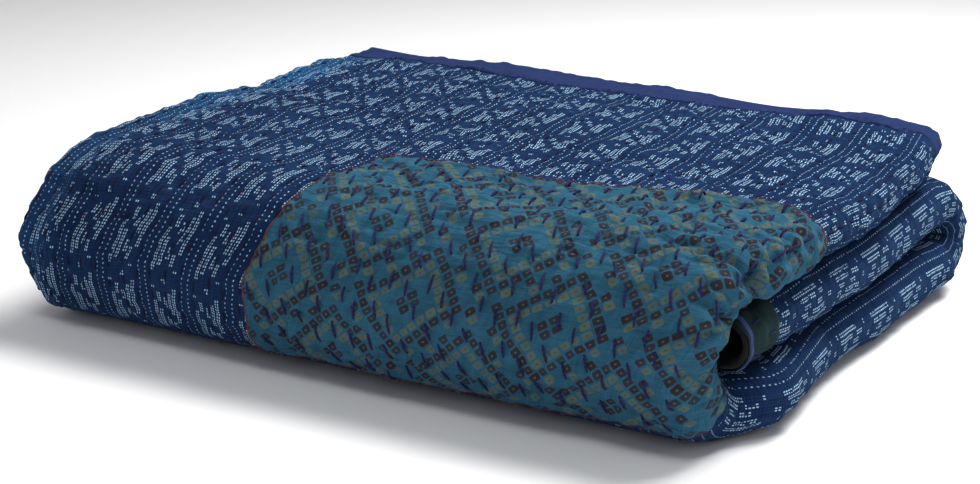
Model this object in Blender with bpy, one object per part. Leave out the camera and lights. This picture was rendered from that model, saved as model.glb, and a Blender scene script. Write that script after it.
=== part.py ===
"""A bed quilt folded in thirds across its width and then in thirds along its length.

Metres, +Z up. X runs along the long side between the rounded ends, Y from the front
fold to the back, and the quilt lies on z = 0 with its centre over the origin.

The cloth is one sheet. Its middle is found at (u, s): u runs across the quilt through
the three plies of a slab, and s runs along it from the bound edge at the top back,
forward over the top slab, down the front fold, back along the bottom slab, up the back
fold and forward again in the middle slab.
"""

import math

import bmesh
import bpy
import numpy as np

# Folded size
LENGTH = 0.760
HEIGHT = 0.180
TOP_SLAB = 0.046
BOTTOM_SLAB = 0.062
MIDDLE_SLAB = 0.062
SLAB_GAP = 0.005
FRONT_Y = -0.315
BACK_Y = 0.315
BOUND_EDGE_Y = 0.285
TUCKED_EDGE_Y = -0.243
# Where the middle of the outline stands, measured from the middle of the slabs
OUTLINE_X = 0.0026
OUTLINE_Y = -0.0010
# How high the stack stands at its corners, as a share of HEIGHT
LEFT_FRONT_RISE = 1.00
LEFT_BACK_RISE = 1.14
RIGHT_FRONT_RISE = 0.935
RIGHT_BACK_RISE = 0.94

# Cloth
PLY = 0.012
BOUND_PLY = 0.0065
THINNING = 0.100
TUCKED_PLY_SHARE = -0.05
FREE_EDGE_SETBACK = 0.012
GAP = 0.0003
LEAST = 1e-5

# Patches and binding
PATCH_CLOTH = 0.0010
BINDING_CLOTH = 0.0012
BINDING_WIDTH = 0.056
TEAL_LEFT_X = -0.070
TEAL_BACK_Y = -0.122
TEAL_LOW_TURN = math.radians(151)
TEAL_HIDDEN = 0.020
GREEN_WIDTH = 0.055
EDGING_WIDTH = 0.005
EDGING_INSET = 0.014

# Each row is a place on the way along the quilt: the run that it is in, the share of
# that run, half the slab's thickness there, and how far the right and the left end
# stand back from the ends of the folded length.
PLACES = (
    # run, share, half, right_setback, left_setback
    ("top", 0.00, 0.021, 0.027, 0.004),
    ("top", 0.30, 0.022, 0.006, 0.006),
    ("top", 0.55, 0.022, 0.000, 0.005),
    ("top", 0.95, 0.023, 0.002, 0.024),
    ("front", 0.28, 0.025, 0.016, 0.014),
    ("front", 0.55, 0.028, 0.029, 0.002),
    ("front", 0.90, 0.031, 0.028, 0.000),
    ("bottom", 0.08, 0.031, -0.007, 0.002),
    ("bottom", 0.38, 0.031, 0.010, 0.004),
    ("bottom", 0.80, 0.031, 0.004, 0.006),
    ("back", 0.08, 0.029, -0.004, 0.008),
    ("back", 0.50, 0.025, -0.002, 0.006),
    ("middle", 0.05, 0.028, 0.008, 0.008),
    ("middle", 0.50, 0.030, 0.003, 0.004),
    ("middle", 1.00, 0.026, 0.010, 0.006),
)

# Slow waves that lift or press the whole stack: share of the height, waves along the
# length, waves along the depth, phase
WAVES = (
    (0.012, 1.3, 0.9, 0.4),
    (0.009, 2.6, 1.7, 2.1),
    (0.006, 4.1, 3.3, 4.4),
)

# Local dips and swellings: centre x, centre y, radius, share of the height
PRESSES = (
    (-0.33, 0.03, 0.09, -0.050),
    (-0.20, 0.27, 0.13, -0.035),
    (0.25, 0.27, 0.11, 0.035),
)

# The rows of the cloth run a little askew round the front fold, and the teal patch with
# them: distance along the quilt, shift across it
LEAN = (
    (0.10, 0.000),
    (0.36, -0.034),
    (0.50, 0.000),
    (0.58, 0.008),
    (0.70, 0.046),
)
# The teal patch's back edge runs askew too: distance across the quilt, shift along it
SKEW = (
    (0.70, -0.010),
    (0.78, -0.016),
    (0.86, -0.026),
    (1.18, 0.000),
)

# Heights and centres that follow from these
LOW_Z = BOTTOM_SLAB / 2
MIDDLE_Z = BOTTOM_SLAB + SLAB_GAP + MIDDLE_SLAB / 2
TOP_Z = HEIGHT - TOP_SLAB / 2
FRONT_TURN = (TOP_Z - LOW_Z) / 2
BACK_TURN = (MIDDLE_Z - LOW_Z) / 2
FRONT_CENTRE_Y = FRONT_Y + FRONT_TURN + 0.027
BACK_CENTRE_Y = BACK_Y - BACK_TURN - 0.025
RUNS = {
    "top": BOUND_EDGE_Y - FRONT_CENTRE_Y,
    "front": math.pi * FRONT_TURN,
    "bottom": BACK_CENTRE_Y - FRONT_CENTRE_Y,
    "back": math.pi * BACK_TURN,
    "middle": BACK_CENTRE_Y - TUCKED_EDGE_Y,
}
ALONG = sum(RUNS.values())

# Lengths across the quilt, with both bends taken at a slab's usual thickness
USUAL_REACH = 0.029 - PLY / 2
RIGHT_BEND = math.pi * USUAL_REACH
LEFT_BEND = math.pi * USUAL_REACH * (1 - TUCKED_PLY_SHARE) / 2
OUTER_PLY = LENGTH - 0.052
INNER_PLY = OUTER_PLY - 0.006
WIDTHS = (INNER_PLY, RIGHT_BEND, OUTER_PLY, LEFT_BEND, INNER_PLY)
ACROSS = sum(WIDTHS)


def run_start(name):
    """How far along the quilt this run begins."""
    before = list(RUNS)[: list(RUNS).index(name)]
    return sum(RUNS[run] for run in before)


def place_table():
    rows = [(run_start(run) + share * RUNS[run], *values) for run, share, *values in PLACES]
    return np.array(rows)


PLACE_TABLE = place_table()


def at_place(s):
    """Half thickness, right setback and left setback, eased between the rows."""
    table = PLACE_TABLE
    row = int(np.clip(np.searchsorted(table[:, 0], s) - 1, 0, len(table) - 2))
    share = float(np.clip((s - table[row, 0]) / (table[row + 1, 0] - table[row, 0]), 0, 1))
    eased = share * share * (3 - 2 * share)
    return table[row, 1:] + eased * (table[row + 1, 1:] - table[row, 1:])


def slab_centre(s):
    """(y, z) of the slab's centre at s, and the direction (y, z) that points out of the fold."""
    top = RUNS["top"]
    front = top + RUNS["front"]
    bottom = front + RUNS["bottom"]
    back = bottom + RUNS["back"]
    if s < top:
        return BOUND_EDGE_Y - s, TOP_Z, 0.0, 1.0
    if s < front:
        turn = (s - top) / FRONT_TURN
        out_y, out_z = -math.sin(turn), math.cos(turn)
        return FRONT_CENTRE_Y + FRONT_TURN * out_y, LOW_Z + FRONT_TURN * (1 + out_z), out_y, out_z
    if s < bottom:
        return FRONT_CENTRE_Y + s - front, LOW_Z, 0.0, -1.0
    if s < back:
        turn = (s - bottom) / BACK_TURN
        out_y, out_z = math.sin(turn), -math.cos(turn)
        return BACK_CENTRE_Y + BACK_TURN * out_y, LOW_Z + BACK_TURN * (1 + out_z), out_y, out_z
    return BACK_CENTRE_Y - (s - back), MIDDLE_Z, 0.0, 1.0


def in_slab(u, reach, right_x, left_x):
    """(x, offset) in a slab's own section, where reach is the outer ply's offset."""
    inner, right_bend, outer, left_bend, _ = WIDTHS
    if u < inner:
        return left_x + 0.006 + (right_x - left_x - 0.006) * u / inner, -reach
    u -= inner
    if u < right_bend:
        turn = math.pi * u / right_bend
        return right_x + reach * math.sin(turn), -reach * math.cos(turn)
    u -= right_bend
    if u < outer:
        return right_x + (left_x - right_x) * u / outer, reach
    u -= outer
    bend = reach * (1 - TUCKED_PLY_SHARE) / 2
    if u < left_bend:
        turn = math.pi * u / left_bend
        return left_x - bend * math.sin(turn), reach - bend * (1 - math.cos(turn))
    u -= left_bend
    run = right_x - FREE_EDGE_SETBACK - left_x
    return left_x + run * u / inner, reach * TUCKED_PLY_SHARE


def settle(x, y, z):
    """The stack's lean, slow waves and local presses, which leave its lowest ply flat."""
    right = 0.5 + x / LENGTH
    back = (y - FRONT_Y) / (BACK_Y - FRONT_Y)
    front_rise = LEFT_FRONT_RISE + (RIGHT_FRONT_RISE - LEFT_FRONT_RISE) * right
    back_rise = LEFT_BACK_RISE + (RIGHT_BACK_RISE - LEFT_BACK_RISE) * right
    rise = front_rise + (back_rise - front_rise) * back
    for share, along, deep, phase in WAVES:
        rise += share * math.sin(2 * math.pi * (along * x / LENGTH + deep * y / LENGTH) + phase)
    for centre_x, centre_y, radius, share in PRESSES:
        away = math.hypot(x - centre_x, y - centre_y) / radius
        rise += share * math.exp(-away * away)
    return x - OUTLINE_X, y - OUTLINE_Y, z + (rise - 1) * max(z - PLY, 0)


def middle(u, s):
    """The middle of the cloth at (u, s)."""
    half, right_setback, left_setback = at_place(s)
    y, z, out_y, out_z = slab_centre(s)
    reach = half - PLY / 2
    right_x = LENGTH / 2 - right_setback - half
    bend = reach * (1 - TUCKED_PLY_SHARE) / 2
    left_x = -LENGTH / 2 + left_setback + bend + PLY / 2
    x, offset = in_slab(u, reach, right_x, left_x)
    return np.array(settle(x, y + offset * out_y, z + offset * out_z))


def frame_at(u, s):
    """The middle of the cloth, its outward normal and its direction towards the bound edge."""
    du = middle(u + LEAST, s) - middle(u - LEAST, s)
    ds = middle(u, s + LEAST) - middle(u, s - LEAST)
    normal = np.cross(du, ds)
    return middle(u, s), normal / np.linalg.norm(normal), -ds / np.linalg.norm(ds)


def eased_table(table, at):
    return float(np.interp(at, *zip(*table)))


def leaned(u, s):
    """The cloth's stations, drawn askew near the teal patch's left and back edges."""
    left, back = TEAL_U[1], TEAL_S[0]
    inner, right_bend, outer, _, _ = WIDTHS
    near_left = np.interp(u, (inner + right_bend, left, inner + right_bend + outer), (0, 1, 0))
    near_back = np.interp(s, (THINNING, back, RUNS["top"] + RUNS["front"]), (0, 1, 0))
    return u + near_left * eased_table(LEAN, s), s + near_back * eased_table(SKEW, u)


def ply_thickness(s):
    """The cloth is squeezed thin where its two short edges are bound."""
    from_edge = min(s, ALONG - s)
    share = min(max(from_edge / THINNING, 0), 1)
    return BOUND_PLY + (PLY - BOUND_PLY) * share * share * (3 - 2 * share)


def face_point(u, s, lift, side=1):
    """A point that lies lift above the outward face of the cloth, or above its inward face."""
    point, normal, _ = frame_at(u, s)
    return point + side * normal * (ply_thickness(s) / 2 + lift)


def spread(start, end, steps):
    return list(np.linspace(start, end, steps + 1))


def joined(*runs):
    """Runs of stations put end to end, each shared value kept once."""
    values = sorted({round(value, 7) for run in runs for value in run})
    return [v for i, v in enumerate(values) if i == 0 or v - values[i - 1] > 1e-4]


def across_at(x):
    """u on the outer ply above this x, where both ends have their usual setback."""
    inner, right_bend, outer, _, _ = WIDTHS
    right_x = LENGTH / 2 - 0.005 - 0.025
    left_x = -LENGTH / 2 + 0.005 + 0.019
    return inner + right_bend + outer * (right_x - x) / (right_x - left_x)


TEAL_U = (INNER_PLY - TEAL_HIDDEN, across_at(TEAL_LEFT_X))
TEAL_S = (BOUND_EDGE_Y - TEAL_BACK_Y, RUNS["top"] + TEAL_LOW_TURN * FRONT_TURN)
GREEN_U = (INNER_PLY - 0.10, INNER_PLY + RIGHT_BEND + 0.10)
GREEN_S = (ALONG - GREEN_WIDTH, ALONG - 0.002)
EDGING_S = (ALONG - EDGING_INSET, ALONG - EDGING_INSET + EDGING_WIDTH)


def across_stations():
    edges = np.cumsum((0,) + WIDTHS)
    steps = (4, 8, 7, 5, 4)
    runs = [spread(edges[i], edges[i + 1], steps[i]) for i in range(5)]
    return joined(*runs, TEAL_U, GREEN_U)


def along_stations():
    steps = {"top": 7, "front": 14, "bottom": 6, "back": 10, "middle": 6}
    runs = [spread(run_start(run), run_start(run) + RUNS[run], steps[run]) for run in RUNS]
    ends = [(BINDING_WIDTH / 2, BINDING_WIDTH, THINNING, ALONG - THINNING)]
    return joined(*runs, *ends, TEAL_S, GREEN_S, EDGING_S)


def between(stations, ends):
    return [v for v in stations if ends[0] - 1e-4 < v < ends[1] + 1e-4]


def shell_object(name, outer, inner, material, backward=0):
    """A closed sheet between two grids of points.

    Every square is cut along the same diagonal of the cloth, so that pieces which lie on
    each other stay parallel. The first backward columns run against the cloth's own.
    """
    rows, columns, _ = outer.shape
    mesh = bmesh.new()
    sides = []
    for grid in (outer, inner):
        sides.append([[mesh.verts.new(point) for point in row] for row in grid])

    def square(a, b, c, d):
        mesh.faces.new((a, b, c))
        mesh.faces.new((a, c, d))

    top, under = sides
    for i in range(rows - 1):
        for j in range(columns - 1):
            over = (top[i][j], top[i + 1][j], top[i + 1][j + 1], top[i][j + 1])
            below = (under[i][j], under[i][j + 1], under[i + 1][j + 1], under[i + 1][j])
            if j < backward:
                over, below = over[1:] + over[:1], below[1:] + below[:1]
            square(*over)
            square(*below)
    for i in range(rows - 1):
        square(top[i][0], under[i][0], under[i + 1][0], top[i + 1][0])
        square(top[i + 1][-1], under[i + 1][-1], under[i][-1], top[i][-1])
    for j in range(columns - 1):
        square(top[0][j + 1], under[0][j + 1], under[0][j], top[0][j])
        square(top[-1][j], under[-1][j], under[-1][j + 1], top[-1][j + 1])
    if mesh.calc_volume(signed=True) < 0:
        bmesh.ops.reverse_faces(mesh, faces=mesh.faces)
    data = bpy.data.meshes.new(name)
    mesh.to_mesh(data)
    mesh.free()
    data.shade_smooth()
    data.set_sharp_from_angle(angle=math.radians(50))
    data.materials.append(material)
    obj = bpy.data.objects.new(name, data)
    bpy.context.scene.collection.objects.link(obj)
    return obj


def cloth_material(name, color, roughness):
    material = bpy.data.materials.new(name)
    material.use_nodes = True
    shader = material.node_tree.nodes["Principled BSDF"]
    shader.inputs["Base Color"].default_value = (*color, 1)
    shader.inputs["Roughness"].default_value = roughness
    shader.inputs["Metallic"].default_value = 0
    return material


def make_quilt_cloth():
    us, ss = across_stations(), along_stations()
    outer = np.zeros((len(us), len(ss), 3))
    inner = np.zeros_like(outer)
    for i, u in enumerate(us):
        for j, s in enumerate(ss):
            outer[i, j] = face_point(*leaned(u, s), 0)
            inner[i, j] = face_point(*leaned(u, s), 0, side=-1)
    outer[np.abs(outer[..., 2]) < GAP, 2] = 0
    return shell_object("quilt_cloth", outer, inner, cloth_material("indigo cotton", (0.03, 0.06, 0.16), 0.85))


def make_patch(name, u_ends, s_ends, lift, thickness, material):
    """A piece of thin cloth that lies on the outward face of the quilt."""
    us = between(across_stations(), u_ends)
    ss = between(along_stations(), s_ends)
    inner = np.array([[face_point(*leaned(u, s), lift) for s in ss] for u in us])
    outer = np.array([[face_point(*leaned(u, s), lift + thickness) for s in ss] for u in us])
    return shell_object(name, outer, inner, material)


def make_binding():
    """A folded strip over the quilt's edge at the top back, on all three plies."""
    us = across_stations()
    round_steps = 4
    grids = []
    for clear in (GAP, GAP + BINDING_CLOTH):
        grid = []
        for u in us:
            row = []
            for s in (BINDING_WIDTH, BINDING_WIDTH / 2, 0):
                point, normal, _ = frame_at(u, s)
                row.append(point + normal * (ply_thickness(s) / 2 + clear))
            point, normal, to_edge = frame_at(u, 0)
            radius = BOUND_PLY / 2 + clear
            for step in range(1, round_steps):
                turn = math.pi * step / round_steps
                row.append(point + radius * (math.cos(turn) * normal + math.sin(turn) * to_edge))
            for s in (0, BINDING_WIDTH / 2, BINDING_WIDTH):
                point, normal, _ = frame_at(u, s)
                row.append(point - normal * (ply_thickness(s) / 2 + clear))
            grid.append(row)
        grids.append(np.array(grid))
    material = cloth_material("indigo violet cotton", (0.04, 0.05, 0.20), 0.8)
    return shell_object("edge_binding", grids[1], grids[0], material, backward=2)


def clear_scene():
    for obj in list(bpy.data.objects):
        bpy.data.objects.remove(obj, do_unlink=True)


def main():
    clear_scene()
    make_quilt_cloth()
    teal = cloth_material("teal tie-dyed cotton", (0.03, 0.14, 0.19), 0.8)
    make_patch("teal_patch", TEAL_U, TEAL_S, GAP, PATCH_CLOTH, teal)
    green = cloth_material("dark green cotton", (0.01, 0.03, 0.03), 0.85)
    make_patch("green_patch", GREEN_U, GREEN_S, GAP, PATCH_CLOTH, green)
    violet = cloth_material("blue violet thread", (0.05, 0.05, 0.22), 0.7)
    make_patch("green_patch_edging", GREEN_U, EDGING_S, 2 * GAP + PATCH_CLOTH, PATCH_CLOTH, violet)
    make_binding()


main()
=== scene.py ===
"""The looks of the folded patchwork quilt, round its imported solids.

The cloth is found at (u, s): u runs across the quilt through the three plies of a slab
and s along it, as in the solids. Patterns and stitches are laid out in cloth
coordinates, (across, along), in metres on the outward face.
"""

import math
from functools import partial
from types import SimpleNamespace

import bpy
import numpy as np
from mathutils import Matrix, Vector


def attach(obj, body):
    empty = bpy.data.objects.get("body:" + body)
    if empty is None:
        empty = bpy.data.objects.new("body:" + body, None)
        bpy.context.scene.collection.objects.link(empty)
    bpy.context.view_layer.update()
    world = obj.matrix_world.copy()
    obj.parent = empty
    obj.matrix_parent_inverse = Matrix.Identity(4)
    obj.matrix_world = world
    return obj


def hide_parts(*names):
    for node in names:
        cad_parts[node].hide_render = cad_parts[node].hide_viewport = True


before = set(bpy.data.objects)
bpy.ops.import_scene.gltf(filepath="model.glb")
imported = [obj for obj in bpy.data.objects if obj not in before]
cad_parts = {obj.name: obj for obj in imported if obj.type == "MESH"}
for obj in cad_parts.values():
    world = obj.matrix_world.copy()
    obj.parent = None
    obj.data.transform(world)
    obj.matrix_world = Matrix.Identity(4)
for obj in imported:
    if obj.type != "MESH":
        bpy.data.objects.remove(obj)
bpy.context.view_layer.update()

# Folded size, as in the solids
LENGTH = 0.760
HEIGHT = 0.180
TOP_SLAB = 0.046
BOTTOM_SLAB = 0.062
MIDDLE_SLAB = 0.062
SLAB_GAP = 0.005
FRONT_Y = -0.315
BACK_Y = 0.315
BOUND_EDGE_Y = 0.285
TUCKED_EDGE_Y = -0.243
# How far the outline is moved to be centred
OUTLINE_X = 0.0026
OUTLINE_Y = -0.0010
# How high the corners rise, as shares of the plain height
LEFT_FRONT_RISE = 1.00
LEFT_BACK_RISE = 1.14
RIGHT_FRONT_RISE = 0.935
RIGHT_BACK_RISE = 0.94
# One ply, its thinning towards both short edges, and where the inner ply and the tucked end lie
PLY = 0.012
BOUND_PLY = 0.0065
THINNING = 0.100
TUCKED_PLY_SHARE = -0.05
FREE_EDGE_SETBACK = 0.012
TUCKED_REACH = 0.009
TUCKED_EASING = 0.10
# How far in the folds lie, what the bends use of the length, and a slab's usual half thickness
FRONT_INSET = 0.027
BACK_INSET = 0.025
FOLD_ALLOWANCE = 0.052
INNER_SHORTER = 0.006
USUAL_HALF = 0.029
# A step small enough to find directions by
LEAST = 1e-5

# Half the thickness of a slab, and how far in its ends lie, at shares of each run
PLACES = (
    # run, share, half, right setback, left setback
    ("top", 0.00, 0.021, 0.027, 0.004),
    ("top", 0.30, 0.022, 0.006, 0.006),
    ("top", 0.55, 0.022, 0.000, 0.005),
    ("top", 0.95, 0.023, 0.002, 0.024),
    ("front", 0.28, 0.025, 0.016, 0.014),
    ("front", 0.55, 0.028, 0.029, 0.002),
    ("front", 0.90, 0.031, 0.028, 0.000),
    ("bottom", 0.08, 0.031, -0.007, 0.002),
    ("bottom", 0.38, 0.031, 0.010, 0.004),
    ("bottom", 0.80, 0.031, 0.004, 0.006),
    ("back", 0.08, 0.029, -0.004, 0.008),
    ("back", 0.50, 0.025, -0.002, 0.006),
    ("middle", 0.05, 0.028, 0.008, 0.008),
    ("middle", 0.50, 0.030, 0.003, 0.004),
    ("middle", 1.00, 0.026, 0.010, 0.006),
)
WAVES = (
    # share of the height, waves along the length, waves along the depth, phase
    (0.012, 1.3, 0.9, 0.4),
    (0.009, 2.6, 1.7, 2.1),
    (0.006, 4.1, 3.3, 4.4),
)
PRESSES = (
    # centre x, centre y, radius, share of the height
    (-0.33, 0.03, 0.09, -0.050),
    (-0.20, 0.27, 0.13, -0.035),
    (0.25, 0.27, 0.11, 0.035),
)
LEAN = (
    # distance along the quilt, shift across it
    (0.50, 0.000),
    (0.58, 0.008),
    (0.70, 0.046),
)

LOW_Z = BOTTOM_SLAB / 2
MIDDLE_Z = BOTTOM_SLAB + SLAB_GAP + MIDDLE_SLAB / 2
TOP_Z = HEIGHT - TOP_SLAB / 2
FRONT_TURN = (TOP_Z - LOW_Z) / 2
BACK_TURN = (MIDDLE_Z - LOW_Z) / 2
FRONT_CENTRE_Y = FRONT_Y + FRONT_TURN + FRONT_INSET
BACK_CENTRE_Y = BACK_Y - BACK_TURN - BACK_INSET
RUNS = {
    "top": BOUND_EDGE_Y - FRONT_CENTRE_Y,
    "front": math.pi * FRONT_TURN,
    "bottom": BACK_CENTRE_Y - FRONT_CENTRE_Y,
    "back": math.pi * BACK_TURN,
    "middle": BACK_CENTRE_Y - TUCKED_EDGE_Y,
}
TOP_END, FRONT_END, BOTTOM_END, BACK_END, ALONG = np.cumsum(list(RUNS.values()))
USUAL_REACH = USUAL_HALF - PLY / 2
RIGHT_BEND = math.pi * USUAL_REACH
LEFT_BEND = math.pi * USUAL_REACH * (1 - TUCKED_PLY_SHARE) / 2
OUTER_PLY = LENGTH - FOLD_ALLOWANCE
INNER_PLY = OUTER_PLY - INNER_SHORTER
BEND_END = INNER_PLY + RIGHT_BEND
OUTER_END = BEND_END + OUTER_PLY
LEFT_END = OUTER_END + LEFT_BEND
ACROSS = LEFT_END + INNER_PLY


# The folded cloth


def run_start(name):
    before = list(RUNS)[: list(RUNS).index(name)]
    return sum(RUNS[run] for run in before)


PLACE_TABLE = np.array([(run_start(run) + share * RUNS[run], *values) for run, share, *values in PLACES])


def at_place(s):
    """Half thickness, right setback and left setback, eased between the rows."""
    rows = np.clip(np.searchsorted(PLACE_TABLE[:, 0], s) - 1, 0, len(PLACE_TABLE) - 2)
    low, high = PLACE_TABLE[rows], PLACE_TABLE[rows + 1]
    eased = smooth((s - low[..., 0]) / (high[..., 0] - low[..., 0]))[..., None]
    return np.moveaxis(low[..., 1:] + eased * (high[..., 1:] - low[..., 1:]), -1, 0)


def slab_centre(s):
    """y and z of the slab's centre, and the direction (y, z) that points out of the fold."""
    in_run = [s < TOP_END, s < FRONT_END, s < BOTTOM_END, s < BACK_END]
    front = (s - TOP_END) / FRONT_TURN
    back = (s - BOTTOM_END) / BACK_TURN
    zero = np.zeros_like(s)
    out_y = np.select(in_run, [zero, -np.sin(front), zero, np.sin(back)], zero)
    out_z = np.select(in_run, [zero + 1, np.cos(front), zero - 1, -np.cos(back)], zero + 1)
    y = np.select(
        in_run,
        [
            BOUND_EDGE_Y - s,
            FRONT_CENTRE_Y + FRONT_TURN * out_y,
            FRONT_CENTRE_Y + s - FRONT_END,
            BACK_CENTRE_Y + BACK_TURN * out_y,
        ],
        BACK_CENTRE_Y - (s - BACK_END) - TUCKED_REACH * smooth(1 + (s - ALONG) / TUCKED_EASING),
    )
    z = np.select(
        in_run,
        [zero + TOP_Z, LOW_Z + FRONT_TURN * (1 + out_z), zero + LOW_Z, LOW_Z + BACK_TURN * (1 + out_z)],
        zero + MIDDLE_Z,
    )
    return y, z, out_y, out_z


def in_slab(u, reach, right_x, left_x):
    """x and offset in a slab's own section, where reach is the outer ply's offset."""
    in_ply = [u < INNER_PLY, u < BEND_END, u < OUTER_END, u < LEFT_END]
    right_turn = math.pi * (u - INNER_PLY) / RIGHT_BEND
    left_turn = math.pi * (u - OUTER_END) / LEFT_BEND
    bend = reach * (1 - TUCKED_PLY_SHARE) / 2
    x = np.select(
        in_ply,
        [
            left_x + INNER_SHORTER + (right_x - left_x - INNER_SHORTER) * u / INNER_PLY,
            right_x + reach * np.sin(right_turn),
            right_x + (left_x - right_x) * (u - BEND_END) / OUTER_PLY,
            left_x - bend * np.sin(left_turn),
        ],
        left_x + (right_x - FREE_EDGE_SETBACK - left_x) * (u - LEFT_END) / INNER_PLY,
    )
    offset = np.select(
        in_ply,
        [-reach, -reach * np.cos(right_turn), reach, reach - bend * (1 - np.cos(left_turn))],
        reach * TUCKED_PLY_SHARE,
    )
    return x, offset


def settle(x, y, z):
    """The folded place, raised or pressed as the quilt lies, with its outline centred."""
    right = 0.5 + x / LENGTH
    back = (y - FRONT_Y) / (BACK_Y - FRONT_Y)
    front_rise = LEFT_FRONT_RISE + (RIGHT_FRONT_RISE - LEFT_FRONT_RISE) * right
    back_rise = LEFT_BACK_RISE + (RIGHT_BACK_RISE - LEFT_BACK_RISE) * right
    rise = front_rise + (back_rise - front_rise) * back
    for share, along, deep, phase in WAVES:
        rise = rise + share * np.sin(2 * math.pi * (along * x / LENGTH + deep * y / LENGTH) + phase)
    for centre_x, centre_y, radius, share in PRESSES:
        away = np.hypot(x - centre_x, y - centre_y) / radius
        rise = rise + share * np.exp(-away * away)
    return x - OUTLINE_X, y - OUTLINE_Y, z + (rise - 1) * np.maximum(z - PLY, 0)


def middle(u, s):
    """The middle of the cloth's thickness at a place."""
    half, right_setback, left_setback = at_place(s)
    y, z, out_y, out_z = slab_centre(s)
    reach = half - PLY / 2
    right_x = LENGTH / 2 - right_setback - half
    left_x = -LENGTH / 2 + left_setback + reach * (1 - TUCKED_PLY_SHARE) / 2 + PLY / 2
    x, offset = in_slab(u, reach, right_x, left_x)
    return np.stack(settle(x, y + offset * out_y, z + offset * out_z), -1)


def unit(vectors):
    return vectors / np.maximum(np.linalg.norm(vectors, axis=-1, keepdims=True), 1e-12)


def frame_at(u, s):
    """The middle of the cloth, its outward normal and its direction towards the bound edge."""
    u, s = np.broadcast_arrays(np.asarray(u, float), np.asarray(s, float))
    du = middle(u + LEAST, s) - middle(u - LEAST, s)
    ds = middle(u, s + LEAST) - middle(u, s - LEAST)
    return middle(u, s), unit(np.cross(du, ds)), -unit(ds)


def smooth(share):
    share = np.clip(share, 0, 1)
    return share * share * (3 - 2 * share)


def ply_thickness(s):
    from_edge = np.minimum(s, ALONG - s)
    return BOUND_PLY + (PLY - BOUND_PLY) * smooth(from_edge / THINNING)


def table_at(table, at):
    return np.interp(at, *zip(*table))


# How far along the outward face each s lies, read down the middle of the outer ply
S_STEPS = np.linspace(0, ALONG, 1200)
MIDDLE_LINE = frame_at(BEND_END + OUTER_PLY / 2, S_STEPS)
FACE_LINE = MIDDLE_LINE[0] + MIDDLE_LINE[1] * ply_thickness(S_STEPS)[:, None] / 2
ALONG_STEPS = np.append(0, np.cumsum(np.linalg.norm(np.diff(FACE_LINE, axis=0), axis=1)))
# Round the right bend the outward face is longer than the cloth's middle
BEND_STRETCH = 1.16


def cloth_at(u, s):
    """Cloth coordinates (across, along) of a place on the outward face."""
    across = np.where(u < BEND_END, BEND_END - (BEND_END - u) * BEND_STRETCH, u)
    return across - table_at(LEAN, s), np.interp(s, S_STEPS, ALONG_STEPS)


def place_of(across, along):
    """(u, s) of cloth coordinates on the outward face."""
    s = np.interp(along, ALONG_STEPS, S_STEPS)
    across = across + table_at(LEAN, s)
    return np.where(across < BEND_END, BEND_END - (BEND_END - across) / BEND_STRETCH, across), s


# The woven motif and the unevenness, in cloth coordinates

BAND = 0.0537
BAND_START = 1.3108
ROW_PITCH = BAND / 3
ROW_START = BAND_START + 0.0030
STITCH_PITCH = 0.0245
ROW_FIRSTS = np.random.default_rng(9).uniform(0, STITCH_PITCH, 128)
MOTIF_START = 0.6545
DASHES = 25
DASH_PITCH = 0.0765 / DASHES
TEAL_ROW_PITCH = 0.0195
TEAL_ROW_START = 1.176
TEAL_STITCH_PITCH = 0.0305
TEAL_FIRSTS = 0.405 + TEAL_STITCH_PITCH * 0.5 * (np.arange(32) % 2)
TEAL_FIRSTS = TEAL_FIRSTS + np.random.default_rng(90).uniform(-0.004, 0.004, 32)

# The tables of places on the cloth are in millimetres
MM = 0.001
BINDING_EDGE = MM * np.array((
    # across, width of the binding there
    (700, 40),
    (840, 42),
    (920, 50),
    (1030, 66),
    (1130, 58),
    (1200, 72),
    (1280, 60),
    (1380, 52),
    (1500, 44),
))

ROW_PUFF = 0.0005
STITCH_PULL = 0.0010
RIDGE_MEAN = 0.33
BESIDE_ROW = 0.24

SWELLS = MM * np.array((
    # across, along, reach across, reach along, height
    (1200, 85, 55, 30, -4.5),
    (1030, 80, 50, 30, -3),
    (1410, 50, 50, 50, 3),
    (870, 55, 50, 45, 4),
    (1100, 200, 60, 50, 2.5),
    (1300, 260, 60, 45, -2),
    (950, 250, 55, 40, -2.5),
    (1440, 150, 30, 35, 3),
    (1450, 330, 30, 30, 3),
    (1450, 420, 30, 25, -2.5),
))

SHIFTS = MM * np.array((
    # across, along, reach across, reach along, height of the whole cloth
    (1487, 560, 45, 45, -7.5),
    (1479, 610, 40, 35, -3),
    (1462, 694, 45, 28, -4.5),
    (1497, 215, 50, 50, -7.5),
    (1486, 130, 50, 45, -4),
    (1486, 50, 50, 45, -5),
    (1000, 0, 200, 50, -4),
    (1420, 0, 60, 50, -5.5),
    (760, 0, 45, 40, -2),
    (691, 1337, 50, 60, -4.5),
    (702, 860, 50, 50, -7),
))

CREASES = MM * np.array((
    # across and along at both ends, width, height
    (742, 200, 800, 240, 10, -3),
    (742, 120, 790, 105, 9, -2.5),
    (745, 160, 800, 165, 9, -2.5),
    (745, 300, 795, 325, 10, -3),
    (760, 250, 840, 270, 12, -2),
    (1150, 140, 1260, 150, 12, -2),
    (980, 310, 1120, 330, 12, -2),
    (1400, 230, 1480, 215, 10, -2.5),
    (1390, 360, 1470, 345, 10, -2.5),
    (1390, 600, 1460, 585, 9, -2),
    (1400, 650, 1460, 660, 9, -2),
))
# How much of its depth a crease has lost at its far end
CREASE_FADE = 0.75
NOISE_SIZE = 128


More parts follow.
